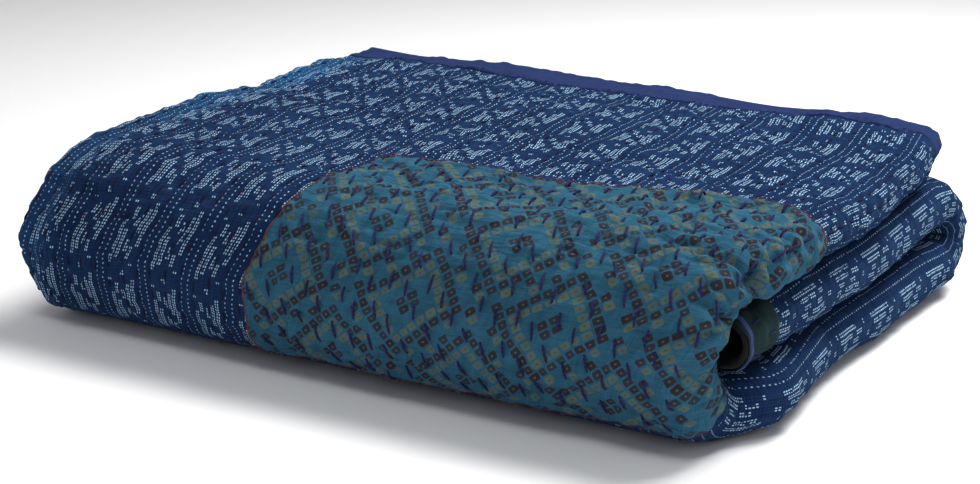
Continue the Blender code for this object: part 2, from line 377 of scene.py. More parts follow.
def noise(x, y, seed):
    """Smooth noise between -1 and 1, even over a lattice of unit squares."""
    table = np.random.default_rng(seed).uniform(-1, 1, (NOISE_SIZE, NOISE_SIZE))
    column, row = np.floor(x).astype(int), np.floor(y).astype(int)
    right, up = smooth(x - column), smooth(y - row)

    def between_columns(row):
        left_value = table[column % NOISE_SIZE, row % NOISE_SIZE]
        return left_value * (1 - right) + table[(column + 1) % NOISE_SIZE, row % NOISE_SIZE] * right

    return between_columns(row) * (1 - up) + between_columns(row + 1) * up


def ridges(across, along, reach_across, reach_along, height, seed):
    """Sharp puckers: noise folded at zero, about as much above the cloth as below it."""
    return height * (np.abs(noise(across / reach_across, along / reach_along, seed)) - RIDGE_MEAN)


def creased(across, along, creases):
    """Soft troughs or ridges from one end, where they are deepest, to the other."""
    height = np.zeros(np.broadcast(across, along).shape)
    for *start, end_across, end_along, width, depth in creases:
        run = np.array((end_across, end_along)) - start
        right, up = across - start[0], along - start[1]
        share = np.clip((right * run[0] + up * run[1]) / (run @ run), 0, 1)
        away = np.hypot(right - share * run[0], up - share * run[1])
        height = height + depth * np.exp(-((away / width) ** 2)) * (1 - CREASE_FADE * share)
    return height


def shown(u, s):
    """1 where the outward face shows, 0 where it lies on the floor or on another slab."""
    flat_part = smooth((u - BEND_END) / 0.02) * smooth((OUTER_END - u) / 0.02)
    low = smooth((s - FRONT_END + 0.055) / 0.03) * smooth((BOTTOM_END + 0.025 - s) / 0.03)
    hidden = smooth((s - BACK_END + 0.02) / 0.03)
    return outward(u) * (1 - flat_part * np.maximum(low, hidden))


def dimples(across, along, start, row_pitch, firsts, pitch, length):
    """0 to 1: how near a place is to a stitch, in rows of stitches that pull the cloth down."""
    row = np.rint((across - start) / row_pitch).astype(int)
    beside = (across - start - row * row_pitch) / (BESIDE_ROW * row_pitch)
    turn = (along - firsts[row % len(firsts)] - length / 2) / pitch
    return np.exp(-beside * beside) * (0.5 + 0.5 * np.cos(2 * math.pi * turn))


def quilting(across, along):
    """Height of the quilt's outward face: rows puffed between stitches, puckers and swells."""
    row = (across - ROW_START) / ROW_PITCH
    puff = ROW_PUFF * (0.5 - 0.5 * np.cos(2 * math.pi * row))
    pull = dimples(across, along, ROW_START, ROW_PITCH, ROW_FIRSTS, STITCH_PITCH, 0.011)
    fine = ridges(across, along, 0.030, 0.0110, 0.0034, 3)
    mid = 0.0014 * noise(across / 0.055, along / 0.026, 5)
    slow = 0.0024 * noise(across / 0.100, along / 0.080, 8)
    height = puff - STITCH_PULL * pull + fine + mid + slow + creased(across, along, CREASES)
    return height + swollen(across, along, SWELLS)


def swollen(across, along, swells):
    """Soft round swells and hollows."""
    height = 0.0
    for centre_across, centre_along, reach_across, reach_along, swell in swells:
        right = (across - centre_across) / reach_across
        up = (along - centre_along) / reach_along
        height = height + swell * np.exp(-(right**2) - up**2)
    return height


def outward(u):
    """1 on the outer ply and its bends, 0 on the plies inside the slab."""
    return smooth((u - INNER_PLY + 0.005) / 0.015) * smooth((LEFT_END + 0.005 - u) / 0.015)


def lying_at(u, s):
    """frame_at, with the shifts of the whole cloth on its outer ply."""
    point, normal, to_edge = frame_at(u, s)
    shift = swollen(*cloth_at(u, s), SHIFTS) * outward(u)
    return point + normal * shift[..., None], normal, to_edge


def face_at(u, s, lift=0.0, relief=None):
    """A point on the outward face of the quilt, with its unevenness, and the normal there."""
    point, normal, _ = lying_at(u, s)
    height = quilting(*cloth_at(u, s)) * shown(u, s) if relief is None else relief
    return point + normal * (ply_thickness(s) / 2 + height + lift)[..., None], normal


# Sheets and stitches


def stations(stretches, end):
    """Values along stretches, each given by its start and step, up to the end."""
    starts, steps = zip(*stretches)
    ends = (*starts[1:], end)
    counts = [max(int(round((b - a) / step)), 1) + 1 for a, b, step in zip(starts, ends, steps)]
    values = [np.linspace(a, b, count) for a, b, count in zip(starts, ends, counts)]
    return np.unique(np.round(np.concatenate(values), 6))


def pairs(first, second):
    return np.stack([first, second], -1)


def nearest(*distances):
    return np.minimum.reduce(np.broadcast_arrays(*distances))


def rounded_edge(distance, radius):
    """How much of a sheet's thickness is left at a distance from its edge."""
    share = np.clip(distance / radius, 0, 1)
    return np.sqrt(np.maximum(1 - (1 - share) ** 2, 0))


def mesh_object(name, points, faces, cloth, material):
    """A smooth piece, with the cloth coordinates of its points as UV."""
    mesh = bpy.data.meshes.new(name)
    mesh.from_pydata(points.reshape(-1, 3).tolist(), [], faces)
    corners = np.empty(len(mesh.loops), "i4")
    mesh.loops.foreach_get("vertex_index", corners)
    layer = mesh.uv_layers.new(name="cloth")
    layer.data.foreach_set("uv", cloth.reshape(-1, 2)[corners].reshape(-1).astype("f4"))
    mesh.shade_smooth()
    mesh.materials.append(material)
    piece = bpy.data.objects.new(name, mesh)
    bpy.context.scene.collection.objects.link(piece)
    return piece


def sheet_object(name, outer, inner, cloth, material):
    """A closed sheet between two grids of points."""
    rows, columns = outer.shape[:2]
    top = np.arange(rows * columns).reshape(rows, columns)
    under = top + rows * columns

    def squares(grid):
        return np.stack([grid[:-1, :-1], grid[1:, :-1], grid[1:, 1:], grid[:-1, 1:]], -1).reshape(-1, 4)

    def rim(edge, other):
        return np.stack([edge[:-1], other[:-1], other[1:], edge[1:]], -1)

    faces = np.concatenate([
        squares(top),
        squares(under)[:, ::-1],
        rim(top[:, 0], under[:, 0]),
        rim(top[::-1, -1], under[::-1, -1]),
        rim(top[0, ::-1], under[0, ::-1]),
        rim(top[-1], under[-1]),
    ])
    return mesh_object(name, np.stack([outer, inner]), faces.tolist(), np.stack([cloth, cloth]), material)


def add_attribute(piece, name, outside, inside):
    """A number for each point of a sheet's outer and inner faces."""
    layer = piece.data.attributes.new(name, "FLOAT", "POINT")
    layer.data.foreach_set("value", np.stack([outside, inside]).reshape(-1).astype("f4"))


def modelled_stitch(points_along, sides):
    """One short thread, along x from 0 to 1 with radius 1: its points and its faces."""
    bpy.ops.object.select_all(action="DESELECT")
    bpy.ops.mesh.primitive_cylinder_add(
        vertices=sides, radius=1, depth=1, location=(0.5, 0, 0), rotation=(0, math.pi / 2, 0)
    )
    thread = bpy.context.object
    bpy.ops.object.transform_apply(location=True, rotation=True, scale=True)
    bpy.ops.object.mode_set(mode="EDIT")
    for share in np.linspace(0, 1, points_along)[1:-1]:
        bpy.ops.mesh.select_all(action="SELECT")
        bpy.ops.mesh.bisect(plane_co=(share, 0, 0), plane_no=(1, 0, 0))
    bpy.ops.object.mode_set(mode="OBJECT")
    points = np.array([vertex.co for vertex in thread.data.vertices])
    faces = [list(face.vertices) for face in thread.data.polygons]
    bpy.data.objects.remove(thread)
    return points, faces


# A stitch is pulled thin at its ends and sinks a little into the cloth
END_THICKNESS = 0.70
SUNK_SHARE = 0.35


def stitch_object(name, starts, ends, radius, rise, material, surface, points_along=5, sides=6):
    """Copies of one modelled stitch, pulled straight from start to end over a surface."""
    points, faces = modelled_stitch(points_along, sides)
    shares = np.linspace(0, 1, points_along)
    across = starts[:, :1] + (ends[:, :1] - starts[:, :1]) * shares
    along = starts[:, 1:] + (ends[:, 1:] - starts[:, 1:]) * shares
    lying, normals = surface(across, along)
    straight = lying[:, :1] + (lying[:, -1:] - lying[:, :1]) * shares[:, None]
    up = unit(normals.mean(axis=1, keepdims=True))
    belly = np.sin(math.pi * shares)
    needed = ((lying - straight) * up).sum(-1)[:, 1:-1] / belly[1:-1]
    arch = np.maximum(needed.max(axis=1), 0) + rise
    centre = straight + up * (arch[:, None] * belly - SUNK_SHARE * radius)[..., None]
    forward = unit(np.gradient(centre, axis=1))
    side = unit(np.cross(forward, np.broadcast_to(up, forward.shape)))
    thick = radius * (END_THICKNESS + (1 - END_THICKNESS) * np.sqrt(np.maximum(belly, 0)))
    ring = np.rint(points[:, 0] * (points_along - 1)).astype(int)
    placed = (
        centre[:, ring]
        + side[:, ring] * (thick[ring] * points[:, 1])[:, None]
        + np.cross(side, forward)[:, ring] * (thick[ring] * points[:, 2])[:, None]
    )
    placed[..., 2] = np.maximum(placed[..., 2], 0)
    firsts = np.arange(len(starts)) * len(points)
    all_faces = [[first + point for point in face] for first in firsts for face in faces]
    return mesh_object(name, placed, all_faces, pairs(across, along)[:, ring], material)


# Materials

TURN = 2 * math.pi


class Value:
    """A number or colour that changes over the surface. Arithmetic on it adds maths nodes."""

    def __init__(self, socket):
        self.socket = socket

    __add__ = __radd__ = lambda a, b: maths("ADD", a, b)
    __mul__ = __rmul__ = lambda a, b: maths("MULTIPLY", a, b)
    __sub__ = lambda a, b: maths("SUBTRACT", a, b)
    __rsub__ = lambda a, b: maths("SUBTRACT", b, a)
    __truediv__ = lambda a, b: maths("DIVIDE", a, b)
    __lt__ = lambda a, b: maths("LESS_THAN", a, b)
    __gt__ = lambda a, b: maths("GREATER_THAN", a, b)
    __abs__ = lambda a: maths("ABSOLUTE", a)


def put(socket, value):
    if isinstance(value, Value):
        socket.id_data.links.new(value.socket, socket)
    else:
        socket.default_value = value


def node(tree, kind, inputs=(), output=0, **settings):
    """A new node with its settings and inputs; what it puts out there."""
    made = tree.nodes.new(kind)
    for name, value in settings.items():
        setattr(made, name, value)
    for name, value in dict(inputs).items():
        put(made.inputs[name], value)
    return Value(made.outputs[output])


def tree_of(*values):
    """The node tree that the values are in."""
    return next(value.socket.id_data for value in values if isinstance(value, Value))


def maths(operation, *values):
    return node(tree_of(*values), "ShaderNodeMath", enumerate(values), operation=operation)


def floor(value):
    return maths("FLOOR", value)


def fract(value):
    return maths("FRACT", value)


def equals(value, number):
    return maths("COMPARE", value, number, 0.25)


def from_middle(value):
    """How far a value lies from the middle of its step, in steps."""
    return abs(fract(value) - 0.5)


def mixed(share, first, second):
    made = node(tree_of(share), "ShaderNodeMix", data_type="RGBA", clamp_factor=True).socket.node
    put(made.inputs["Factor"], share)
    colors = [socket for socket in made.inputs if socket.type == "RGBA"]
    put(colors[0], first)
    put(colors[1], second)
    return Value([socket for socket in made.outputs if socket.type == "RGBA"][0])


def rising(value, low, high, least=0.0):
    """least at low and 1 at high, and straight between them."""
    inputs = {"Value": value, "From Min": low, "From Max": high, "To Min": least}
    return node(tree_of(value), "ShaderNodeMapRange", inputs)


def in_stretches(share, stretches):
    """1 where share lies in one of the stretches (start, end), and 0 elsewhere."""
    made = node(tree_of(share), "ShaderNodeValToRGB", {"Fac": share}, "Color")
    ramp = made.socket.node.color_ramp
    ramp.interpolation = "CONSTANT"
    marks = sorted([(a, 1.0) for a, _ in stretches] + [(b, 0.0) for _, b in stretches])
    if marks[0][0] > 0:
        marks.insert(0, (0.0, 0.0))
    while len(ramp.elements) < len(marks):
        ramp.elements.new(0.5)
    for element, (position, value) in zip(ramp.elements, marks):
        element.position = position
        element.color = (value, value, value, 1)
    return made


def vector_of(x, y, z=0.0):
    return node(tree_of(x), "ShaderNodeCombineXYZ", {0: x, 1: y, 2: z})


def noise_at(x, y, scale_x, scale_y, detail=2.0):
    inputs = {"Vector": vector_of(x * scale_x, y * scale_y), "Scale": 1.0, "Detail": detail}
    return node(tree_of(x), "ShaderNodeTexNoise", inputs, "Fac")


def chance_of(cell, dimensions):
    """A number between 0 and 1 for each cell."""
    inputs = {"Vector": cell}
    return node(tree_of(cell), "ShaderNodeTexWhiteNoise", inputs, "Value", noise_dimensions=dimensions)


def new_group(name, inputs, outputs):
    """An empty node group on cloth, the values given to it and the sockets that it puts out."""
    inputs = {"Across": 0.0, "Along": 0.0, **inputs}
    group = bpy.data.node_groups.new(name, "ShaderNodeTree")
    for label, value in inputs.items():
        socket = group.interface.new_socket(label, in_out="INPUT", socket_type="NodeSocketFloat")
        socket.default_value = value
    for label in outputs:
        group.interface.new_socket(label, in_out="OUTPUT", socket_type="NodeSocketFloat")
    given = group.nodes.new("NodeGroupInput").outputs
    return group, [Value(given[label]) for label in inputs], group.nodes.new("NodeGroupOutput").inputs


def weave_group():
    """Plain weave: fine threads both ways with slubs, for height and for shade."""
    inputs = {"Threads per metre": 1400.0, "Depth": 0.00012}
    group, (across, along, count, depth), made = new_group("plain weave", inputs, ["Height", "Shade"])
    threads = maths("SINE", across * count * TURN) * maths("SINE", along * count * TURN)
    slubs = noise_at(across, along, 900.0, 40.0) + noise_at(across, along, 40.0, 900.0)
    put(made["Height"], (threads * 0.5 + slubs) * depth)
    put(made["Shade"], slubs * 1.4 - 0.9)
    return group


def pucker_group():
    """Fine wrinkles that run across the stitched rows: their height, and a share that is high in their
    hollows, for painted shade there.
    """
    inputs = {"Depth": 0.0008, "Rows per metre": 56.0}
    group, (across, along, depth, rows), made = new_group("fine puckers", inputs, ["Height", "Hollow shade"])
    bent = noise_at(across, along, 30.0, 30.0) * 0.006 + along
    broad = noise_at(across, bent, 34.0, 120.0, 1.0)
    tight = noise_at(across, bent, 70.0, 300.0)
    row = maths("COSINE", (across - ROW_START) * rows * TURN)
    total = broad + tight * 0.45 - row * 0.12
    put(made["Height"], total * depth)
    put(made["Hollow shade"], 1.0 - total * 0.8)
    return group


PAIRS = (
    # place across the band, runs of dashes along the motif
    (0.317, ((0, 14), (19, 20))),
    (0.438, ((2, 11), (14, 18))),
    (0.577, ((4, 8), (12, 16), (21, 23))),
    (0.698, ((2, 6), (9, 18))),
    (0.816, ((0, 1), (6, 20))),
)
# Widths are shares of the band, and lengths shares of a dash or dot
PAIR_HALF = 0.0235
THREAD_HALF = 0.0122
DASH_HALF_LENGTH = 0.31
DOT_COLUMNS = (0.0, 0.150)
DOT_HALF = 0.011
DOT_HALF_LENGTH = 0.18
DOT_STRENGTH = 0.85
DOTS = 16
CHANCE_COLUMNS = 24.0


def dashes_group():
    """The woven motif: pairs of dashed threads in two-winged clusters between dotted lines."""
    group, (across, along), made = new_group("woven dashes", {}, ["Dash", "Ghost", "Chance"])
    band = (BAND_START - across) / BAND
    place = fract(band)
    step = (MOTIF_START - along) / DASH_PITCH
    turn = fract(step / DASHES)
    in_dash = from_middle(step) < DASH_HALF_LENGTH
    total = ghost = 0.0
    for centre, runs in PAIRS:
        column = abs(abs(place - centre) - PAIR_HALF) < THREAD_HALF
        run = in_stretches(turn, [(a / DASHES, b / DASHES) for a, b in runs])
        total = total + column * run
        ghost = ghost + column
    total = total * in_dash
    dot_step = (MOTIF_START - along) / (DASH_PITCH * DASHES / DOTS)
    in_dot = from_middle(dot_step) < DOT_HALF_LENGTH
    for centre in DOT_COLUMNS:
        dot = (from_middle(place + (0.5 - centre)) < DOT_HALF) * in_dot
        total = total + dot * DOT_STRENGTH
    cell = vector_of(floor(step), floor(place * CHANCE_COLUMNS), floor(band))
    put(made["Dash"], maths("MINIMUM", total, 1.0))
    put(made["Ghost"], ghost * in_dash)
    put(made["Chance"], chance_of(cell, "3D"))
    return group


DIAMOND_ACROSS = 0.141
DIAMOND_ALONG = 0.131
DIAMOND_AT = (1.0103, 0.634)
DIAMOND_WOBBLE = 0.0035
SQUARES = 10
SQUARE_HALF = 0.365
SQUARE_VARIATION = 0.05
SQUARE_POWER = 7.0
EYE_SIZE = 0.0085


def squares_group():
    """Tie-dyed diamonds: rings of small squares, brown outside, olive inside, four in the middle."""
    group, (across, along), made = new_group("tied squares", {}, ["Brown", "Olive", "Eye", "Chance"])
    wobble = (noise_at(across, along, 28.0, 28.0) - 0.5) * DIAMOND_WOBBLE
    right = (across - DIAMOND_AT[0] + wobble) / DIAMOND_ACROSS
    up = (along - DIAMOND_AT[1] - wobble) / DIAMOND_ALONG
    ways = [right + up + 0.5, right - up + 0.5]
    counts = [fract(way) * SQUARES for way in ways]
    index = [floor(count) for count in counts]
    ring = maths("MAXIMUM", *[abs(i - (SQUARES - 1) / 2) for i in index])
    chance = chance_of(vector_of(*[floor(way * SQUARES) for way in ways]), "2D")
    x, y = [fract(count) - 0.5 for count in counts]
    half = chance * SQUARE_VARIATION + SQUARE_HALF
    power = [maths("POWER", value, SQUARE_POWER) for value in (abs(x), abs(y), half)]
    square = power[0] + power[1] < power[2]
    spread = maths("FLOORED_MODULO", index[1] * 3.0 + index[0], 5.0)
    loose = equals(ring, 4.5)
    brown = equals(ring, 0.5) + equals(ring, 3.5) + loose * equals(spread, 0.0)
    olive = equals(ring, 2.5) + loose * equals(spread, 2.0)
    put(made["Brown"], brown * square)
    put(made["Olive"], olive * square)
    put(made["Eye"], (x * x + y * y < EYE_SIZE) * square)
    put(made["Chance"], chance)
    return group


WEAVE = weave_group()
PUCKERS = pucker_group()
DASH_MOTIF = dashes_group()
TIED = squares_group()
SHEEN_TINT = (0.35, 0.62, 1.0, 1)


def group_values(cloth, group, **inputs):
    """What a node group puts out on a cloth, by name."""
    made = node(cloth.tree, "ShaderNodeGroup", node_tree=group).socket.node
    for name, value in {"Across": cloth.across, "Along": cloth.along, **inputs}.items():
        put(made.inputs[name], value)
    return {socket.name: Value(socket) for socket in made.outputs}


def cloth_material(name, roughness, sheen):
    """A matt cotton: its tree, its shader's inputs and its cloth coordinates."""
    material = bpy.data.materials.new(name)
    material.use_nodes = True
    tree = material.node_tree
    shader = tree.nodes["Principled BSDF"].inputs
    put(shader["Roughness"], roughness)
    put(shader["Specular IOR Level"], 0.0)
    put(shader["Sheen Weight"], sheen)
    put(shader["Sheen Roughness"], 0.5)
    put(shader["Sheen Tint"], SHEEN_TINT)
    uv = node(tree, "ShaderNodeUVMap", uv_map="cloth")
    split = node(tree, "ShaderNodeSeparateXYZ", {0: uv}).socket.node.outputs
    return SimpleNamespace(
        material=material, tree=tree, shader=shader, across=Value(split[0]), along=Value(split[1])
    )


def dyed_cotton(name, deep, light, pucker_depth, patches, unevenness, detail=2.0):
    """A woven and puckered cotton with patchy dye, and what its colour and height start from."""
    cloth = cloth_material(name, roughness=0.9, sheen=0.06)
    weave = group_values(cloth, WEAVE)
    pucker = group_values(cloth, PUCKERS, Depth=pucker_depth)
    cloth.hollow = pucker["Hollow shade"]
    cloth.patchy = noise_at(cloth.across, cloth.along, patches, patches, detail)
    cloth.ground = mixed((cloth.patchy - 0.5) * unevenness + weave["Shade"], deep, light)
    cloth.height = weave["Height"] + pucker["Height"]
    return cloth


def finished(cloth, color, height):
    bump = node(cloth.tree, "ShaderNodeBump", {"Height": height, "Distance": 1.0, "Strength": 1.0})
    put(cloth.shader["Base Color"], color)
    put(cloth.shader["Normal"], bump)
    return cloth.material


def attribute(cloth, name):
    return node(cloth.tree, "ShaderNodeAttribute", output="Fac", attribute_name=name)


NAVY_DEEP = (0.005, 0.014, 0.046, 1)
NAVY = (0.011, 0.030, 0.092, 1)
PALE_THREAD = (0.430, 0.660, 0.860, 1)
GHOST_THREAD = (0.030, 0.070, 0.160, 1)
BRIGHT_BLUE = (0.014, 0.085, 0.210, 1)
# Near-black inside colour: painted shade of the hollow inside the fold, with a dark brown-green tone for
# the inside cloth
INSIDE_TONE_AND_SHADE = (0.015, 0.014, 0.012, 1)
# Where the bright dye at the back left sets in, across the cloth and along it
BRIGHT_ACROSS = (1.434, 1.446)
BRIGHT_ALONG = (0.43, 0.23)
BRIGHT_ON_FRONT = 0.30
MISSING_DASHES = 0.09
DASH_RISE = 0.00025


def indigo_material():
    cloth = dyed_cotton("indigo cotton with woven dashes", NAVY_DEEP, NAVY, 0.0028, 9.0, 0.9)
    motif = group_values(cloth, DASH_MOTIF)
    chance = motif["Chance"]
    edge = (cloth.patchy - 0.5) * 0.02 + cloth.across
    in_band = rising(edge, *BRIGHT_ACROSS) * rising(cloth.along, *BRIGHT_ALONG, BRIGHT_ON_FRONT)
    faded = in_band * (cloth.patchy * 1.4 - 0.05)
    color = mixed(faded, cloth.ground, BRIGHT_BLUE)
    color = mixed(motif["Ghost"] * 0.22, color, GHOST_THREAD)
    woven = motif["Dash"] * (chance > MISSING_DASHES) * (chance * 0.40 + 0.58)
    blurred = motif["Ghost"] * faded * (chance > 0.4) * 0.8
    color = mixed(maths("MAXIMUM", woven, blurred), color, PALE_THREAD)
    # Painted shade: darker towards NAVY_DEEP in the pucker hollows
    color = mixed((cloth.hollow - 0.42) * 1.1, color, NAVY_DEEP)
    # Painted shade: the inner face and the last of the tucked end take the near-black inside colour
    color = mixed(attribute(cloth, "inside_tone_and_shade"), color, INSIDE_TONE_AND_SHADE)
    return finished(cloth, color, motif["Dash"] * DASH_RISE + cloth.height)


TEAL = (0.033, 0.124, 0.196, 1)
TEAL_DEEP = (0.018, 0.070, 0.114, 1)
TEAL_PAINTED_SHADE = (0.010, 0.036, 0.062, 1)
BROWN = (0.031, 0.022, 0.024, 1)
OLIVE = (0.086, 0.121, 0.100, 1)
EYE_LIGHT = (0.090, 0.120, 0.110, 1)
EYE_DARK = (0.050, 0.062, 0.050, 1)
RUST = (0.150, 0.035, 0.020, 1)
# How far from the patch's edge its rusty rim sets in and is full
RUST_RIM = (0.0055, 0.0035)


def teal_material():
    cloth = dyed_cotton("teal tie-dyed cotton", TEAL_DEEP, TEAL, 0.0030, 14.0, 1.1, 4.0)
    tied = group_values(cloth, TIED)
    faded = tied["Chance"] * 0.22 + 0.78
    color = cloth.ground
    for squares, dye in (("Brown", BROWN), ("Olive", OLIVE)):
        color = mixed(tied[squares] * faded, color, dye)
    for squares, dye in (("Brown", EYE_LIGHT), ("Olive", EYE_DARK)):
        color = mixed(tied[squares] * tied["Eye"] * 0.8, color, dye)
    ragged = noise_at(cloth.across, cloth.along, 150.0, 150.0) * 0.004 + attribute(cloth, "from_edge")
    color = mixed(rising(ragged, *RUST_RIM) * 0.65, color, RUST)
    # Painted shade: darker in the pucker hollows
    color = mixed((cloth.hollow - 0.40) * 0.9, color, TEAL_PAINTED_SHADE)
    return finished(cloth, color, cloth.height)


def plain_material(name, deep, light):
    cloth = dyed_cotton(name, deep, light, 0.0007, 22.0, 0.8)
    return finished(cloth, cloth.ground, cloth.height)


TWISTS_PER_METRE = 900.0


def thread_material(name, deep, light):
    """Twisted thread: fine slanted turns along each stitch."""
    cloth = cloth_material(name, roughness=0.8, sheen=0.1)
    slant = (cloth.across * 1.5 + cloth.along) * (TURN * TWISTS_PER_METRE)
    twist = maths("SINE", slant) * 0.5 + 0.5
    patchy = noise_at(cloth.across, cloth.along, 60.0, 60.0)
    return finished(cloth, mixed(twist * 0.4 + patchy * 0.7, deep, light), twist * 0.0001)


INDIGO = indigo_material()
TEAL_COTTON = teal_material()
BINDING_COTTON = plain_material(
    "indigo violet binding cotton", (0.013, 0.021, 0.074, 1), (0.025, 0.040, 0.122, 1)
)
GREEN_COTTON = plain_material("dark green cotton", (0.008, 0.017, 0.015, 1), (0.021, 0.040, 0.037, 1))
VIOLET_TAPE = plain_material("blue violet tape", (0.032, 0.040, 0.130, 1), (0.062, 0.078, 0.230, 1))
VIOLET_THREAD = thread_material(
    "violet kantha thread", (0.010, 0.008, 0.036, 1), (0.034, 0.029, 0.100, 1)
)
MAROON_THREAD = thread_material("dark maroon thread", (0.007, 0.005, 0.017, 1), (0.026, 0.014, 0.044, 1))
RUST_THREAD = thread_material("rust thread", (0.070, 0.016, 0.012, 1), (0.210, 0.060, 0.035, 1))


# The quilt cloth

TEAL_BACK = MM * np.array((
    # across, along of the patch's back edge
    (679, 412), (738, 408), (763, 410), (785, 395), (821, 381),
    (852, 384), (885, 398), (940, 419), (1024, 433), (1085, 437),
    (1134, 430), (1160, 425), (1184, 420),
))
TEAL_LEFT = MM * np.array((
    # along, across of the patch's left edge
    (400, 1181), (460, 1188), (500, 1189), (540, 1181), (600, 1191),
    (640, 1187), (680, 1180), (730, 1176),
))
TEAL_LOW = 0.728
TEAL_HIDDEN = 0.020
TEAL_LIFT = 0.0012
# How far the quilt is pressed down under the patch
PRESSED = 0.0026
HIDDEN_EDGE = 0.03
EDGE_RADIUS = 0.006
EDGE_LEAST = 0.35
# The last of the tucked end has the inside's colour: painted shade of the hollow in the fold, with a dark
# brown-green tone for the inside cloth.
TUCKED_END_SHADED = 0.0045

QUILT_GRID_ACROSS = (
    # start, step from there on
    (0, 0.11),
    (INNER_PLY - HIDDEN_EDGE, 0.010),
    (INNER_PLY, 0.0042),
    (BEND_END, 0.0068),
    (OUTER_END, 0.0045),
    (LEFT_END, 0.010),
    (LEFT_END + HIDDEN_EDGE, 0.11),
)
QUILT_GRID_ALONG = (
    # start, step from there on
    (0, 0.006),
    (0.06, 0.0031),
    (TOP_END, 0.0030),
    (FRONT_END, 0.013),
    (BOTTOM_END, 0.0045),
    (BACK_END, 0.011),
    (ALONG - 0.07, 0.006),
    (ALONG - 0.006, 0.0015),
)


def teal_insets(across, along):
    """How far a place lies inside the teal patch's left, back and low edges."""
    return table_at(TEAL_LEFT, along) - across, along - table_at(TEAL_BACK, across), TEAL_LOW - along


def teal_right(s):
    """Where the teal patch's hidden right end lies, in cloth coordinates."""
    return cloth_at(np.array(INNER_PLY - TEAL_HIDDEN), np.array(s))[0]


def under_teal(across, along):
    """1 well inside the teal patch's outline, 0 outside it."""
    inset = nearest(*teal_insets(across, along), across - teal_right(0.6))
    return smooth((inset - 0.002) / 0.006)


def make_quilt():
    us, ss = stations(QUILT_GRID_ACROSS, ACROSS), stations(QUILT_GRID_ALONG, ALONG)
    u, s = np.meshgrid(us, ss, indexing="ij")
    across, along = cloth_at(u, s)
    under = under_teal(across, along) * (u > INNER_PLY - HIDDEN_EDGE)
    relief = quilting(across, along) + under * (teal_height(across, along) - TEAL_LIFT)
    outer, _ = face_at(u, s, 0.0, relief * shown(u, s) - PRESSED * under)
    point, normal, _ = lying_at(u, s)
    inner = point - normal * ply_thickness(s)[..., None] / 2
    from_edge = nearest(u, ACROSS - u, s, ALONG - s)
    left = np.maximum(rounded_edge(from_edge, EDGE_RADIUS), EDGE_LEAST)[..., None]
    outer, inner = point + (outer - point) * left, point + (inner - point) * left
    for grid in (outer, inner):
        grid[..., 2] = np.maximum(grid[..., 2], 0)
    piece = sheet_object("quilt", outer, inner, pairs(across, along), INDIGO)
    # Painted shade: a mask, 1 on the inner face and at the last of the tucked end, where the near-black
    # inside colour is painted
    add_attribute(piece, "inside_tone_and_shade", smooth((s - ALONG + TUCKED_END_SHADED) / 0.002), np.ones(s.shape))
    return piece


def scattered(count, low, high, seed):
    return np.random.default_rng(seed).uniform(low, high, count)


def row_of_stitches(across, slip, marks, lengths):
    """The starts and the ends of a row of stitches, each slanted by its slip."""
    return pairs(across + slip, marks), pairs(across - slip, marks + lengths)


def quilt_face(across, along, lift):
    return face_at(*place_of(across, along), lift)


MAROON_ROWS = range(-32, 12)
MAROON_RADIUS = 0.00075
MAROON_RISE = 0.0006


def quilt_stitches():
    """Maroon running stitches in even rows, where the quilt shows."""
    rows = []
    for row in MAROON_ROWS:
        across = ROW_START + row * ROW_PITCH
        marks = np.arange(ROW_FIRSTS[row % len(ROW_FIRSTS)], ALONG_STEPS[-1] - 0.01, STITCH_PITCH)
        marks = marks + scattered(len(marks), -0.002, 0.002, 340 + row)
        lengths = scattered(len(marks), 0.0095, 0.0125, 540 + row)
        slip = scattered(len(marks), -0.0008, 0.0008, 740 + row)
        rows.append(row_of_stitches(across, slip, marks, lengths))
    starts, ends = np.concatenate(rows, axis=1)
    centre = (starts + ends) / 2
    u, s = place_of(*centre.T)
    keep = (shown(u, s) > 0.6) & (s > 0.07) & (u > INNER_PLY) & (u < LEFT_END)
    near_teal = under_teal(*starts.T) + under_teal(*ends.T)
    keep &= (under_teal(*centre.T) < 0.01) & (near_teal < 0.01)
    return stitch_object(
        "quilt_stitches", starts[keep], ends[keep], MAROON_RADIUS, MAROON_RISE, MAROON_THREAD,
        partial(quilt_face, lift=0.0003),
    )


# The teal patch

GATHERS = MM * np.array((
    # across and along at both ends, width, height
    (734, 545, 800, 541, 5.5, -11),
    (734, 556, 752, 560, 4.5, -7),
    (738, 566, 800, 572, 9, 5),
    (728, 596, 764, 590, 4.5, -12),
    (726, 584, 748, 572, 4.5, -6),
    (732, 540, 775, 512, 5, -8.5),
    (730, 530, 770, 498, 7, 3),
    (736, 515, 810, 474, 6, -6),
    (738, 485, 820, 450, 6.5, -5.5),
    (736, 612, 800, 630, 6, -5),
    (790, 541, 860, 528, 6, -4.5),
    (738, 655, 790, 665, 6, -3.7),
    (738, 695, 780, 690, 6, -3.7),
    (1070, 697, 1020, 699, 3, -1.8),
    (1000, 698, 960, 701, 3, -1.5),
    (940, 700, 900, 704, 3, -1.8),
))
# start and step from there on, as shares of the patch
TEAL_GRID_ACROSS = ((0, 0.0025), (0.010, 0.0054), (0.990, 0.0025))
TEAL_GRID_ALONG = ((0, 0.003), (0.012, 0.0072), (0.988, 0.003))
TEAL_DIP = 0.0016
TEAL_PUFF = 0.0012
TEAL_COTTON_THICKNESS = 0.0009
TEAL_HEM = 0.0005
TEAL_HEM_WIDTH = 0.009
TEAL_EDGE_WANDER = 0.0012
TEAL_LEFT_USUAL = 1.19
FRONT_SMOOTHING = 0.72
FRONT_SMOOTHING_BROAD = 0.45


